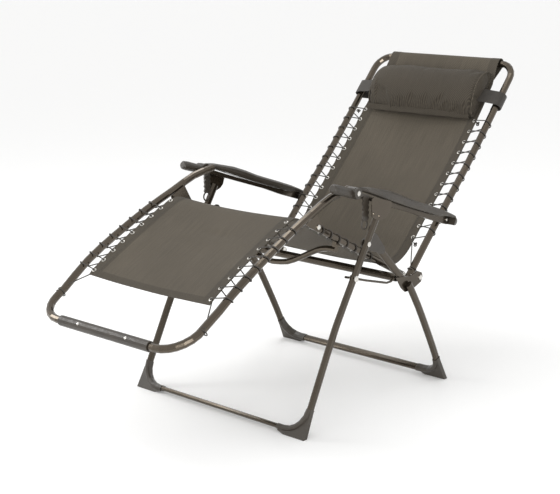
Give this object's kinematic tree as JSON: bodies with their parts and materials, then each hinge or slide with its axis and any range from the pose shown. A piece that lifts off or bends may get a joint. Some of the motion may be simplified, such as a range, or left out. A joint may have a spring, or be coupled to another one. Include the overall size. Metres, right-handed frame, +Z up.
{
  "type": "zero gravity recliner",
  "caption": "Folding garden recliner: crossing leg frames carry a laced fabric sling, linked back, leg rest and armrests with lock levers, and a head pillow.",
  "frame": {"origin": "on the floor, under the middle of the chair's overall box", "axes": "+X to the sitter's left, -Y the way the sitter faces, +Z up"},
  "size_m": [0.66, 1.5384, 0.9395],
  "materials": {
    "frame_paint": "glossy dark bronze powder coat",
    "leg_paint": "satin dark bronze powder coat",
    "bright_steel": "plain zinc-plated rivets and bolts",
    "dark_plastic": "moulded, fine grain",
    "sling_fabric": "woven coated mesh, taupe",
    "pillow_fabric": "woven coated mesh, darker taupe, with piping",
    "elastic_cord": "woven elastic, matte"
  },
  "bodies": {
    "rear_leg": {"rear_leg_frame": "leg_paint", "rear_boot_left": "dark_plastic", "rear_boot_right": "dark_plastic", "rear_bar_left": "leg_paint", "rear_bar_right": "leg_paint", "rear_bracket_left": "leg_paint", "rear_bracket_right": "leg_paint", "cross_bracket_left": "dark_plastic", "cross_bracket_right": "dark_plastic", "rear_crossbar": "leg_paint", "cross_bolt_left": "bright_steel", "cross_bolt_right": "bright_steel", "hip_bolt_left": "bright_steel", "hip_bolt_right": "bright_steel", "stay_rod_left": "leg_paint", "stay_rod_right": "leg_paint"},
    "front_leg": {"front_leg_frame": "leg_paint", "front_boot_left": "dark_plastic", "front_boot_right": "dark_plastic", "stay_knob_left": "bright_steel", "stay_knob_right": "bright_steel"},
    "saddle_plate_left": {"saddle_left": "frame_paint"},
    "saddle_plate_right": {"saddle_right": "frame_paint"},
    "seat": {"seat_tube_left": "frame_paint", "seat_tube_right": "frame_paint", "seat_crossbar": "frame_paint", "seat_clip_left": "frame_paint", "seat_clip_right": "frame_paint", "knee_bolt_left": "bright_steel", "knee_bolt_right": "bright_steel", "sling_seat": "sling_fabric", "seat_lace_left": "elastic_cord", "seat_lace_right": "elastic_cord"},
    "back": {"back_frame": "frame_paint", "top_sleeve": "sling_fabric", "sling_back": "sling_fabric", "back_lace_left": "elastic_cord", "back_lace_right": "elastic_cord", "arm_rear_bolt_left": "bright_steel", "arm_rear_bolt_right": "bright_steel"},
    "leg_rest": {"leg_rest_frame": "frame_paint", "footrest_sleeve": "dark_plastic", "knee_bracket_left": "frame_paint", "knee_bracket_right": "frame_paint", "sling_leg": "sling_fabric", "leg_lace_left": "elastic_cord", "leg_lace_right": "elastic_cord"},
    "armrest_left": {"arm_rail_left": "leg_paint", "arm_pad_left": "dark_plastic", "arm_grip_left": "dark_plastic", "arm_front_bolt_left": "bright_steel"},
    "armrest_right": {"arm_rail_right": "leg_paint", "arm_pad_right": "dark_plastic", "arm_grip_right": "dark_plastic", "arm_front_bolt_right": "bright_steel"},
    "lever_left": {"lock_lever_left": "dark_plastic"},
    "lever_right": {"lock_lever_right": "dark_plastic"},
    "pillow": {"head_pillow": "pillow_fabric", "pillow_strap_left": "elastic_cord", "pillow_strap_right": "elastic_cord"}
  },
  "joints": [
    {"name": "recline", "type": "hinge", "parent": "seat", "child": "back", "pos_m": [0, 0.1985, 0.343], "axis": [1, 0, 0], "range_deg": [-8, 14]},
    {"name": "seat_tilt", "type": "hinge", "parent": "rear_leg", "child": "seat", "pos_m": [0, 0.1985, 0.343], "axis": [1, 0, 0], "range_deg": [-3, 5]},
    {"name": "leg_rest_lift", "type": "hinge", "parent": "seat", "child": "leg_rest", "pos_m": [0, -0.2015, 0.551], "axis": [1, 0, 0], "range_deg": [-14, 24]},
    {"name": "armrest_left_link", "type": "hinge", "parent": "back", "child": "armrest_left", "pos_m": [0.291, 0.3455, 0.4915], "axis": [1, 0, 0], "range_deg": [-15, 9]},
    {"name": "armrest_right_link", "type": "hinge", "parent": "back", "child": "armrest_right", "pos_m": [-0.291, 0.3455, 0.4915], "axis": [1, 0, 0], "range_deg": [-15, 9]},
    {"name": "leg_fold", "type": "hinge", "parent": "rear_leg", "child": "front_leg", "pos_m": [0, -0.071, 0.492], "axis": [1, 0, 0], "range_deg": [0, 58]},
    {"name": "saddle_left_turn", "type": "hinge", "parent": "front_leg", "child": "saddle_plate_left", "pos_m": [0.3165, -0.0275, 0.565], "axis": [1, 0, 0], "range_deg": [-58, 0]},
    {"name": "saddle_right_turn", "type": "hinge", "parent": "front_leg", "child": "saddle_plate_right", "pos_m": [-0.3165, -0.0275, 0.565], "axis": [1, 0, 0], "range_deg": [-58, 0]},
    {"name": "lever_left_swing", "type": "hinge", "parent": "armrest_left", "child": "lever_left", "pos_m": [0.306, -0.1015, 0.637], "axis": [1, 0, 0], "range_deg": [-80, 0]},
    {"name": "lever_right_swing", "type": "hinge", "parent": "armrest_right", "child": "lever_right", "pos_m": [-0.306, -0.1015, 0.637], "axis": [1, 0, 0], "range_deg": [-80, 0]},
    {"name": "pillow_slide", "type": "slide", "parent": "back", "child": "pillow", "axis": [0, 0.678, 0.735], "range_m": [-0.12, 0]}
  ],
  "couplings": [
    {"joint": "seat_tilt", "follows": "recline", "ratio": 0.313},
    {"joint": "leg_rest_lift", "follows": "recline", "ratio": 1.623},
    {"joint": "armrest_left_link", "follows": "recline", "ratio": -1.0207},
    {"joint": "armrest_right_link", "follows": "recline", "ratio": -1.0207},
    {"joint": "saddle_left_turn", "follows": "leg_fold", "ratio": -1},
    {"joint": "saddle_right_turn", "follows": "leg_fold", "ratio": -1}
  ]
}
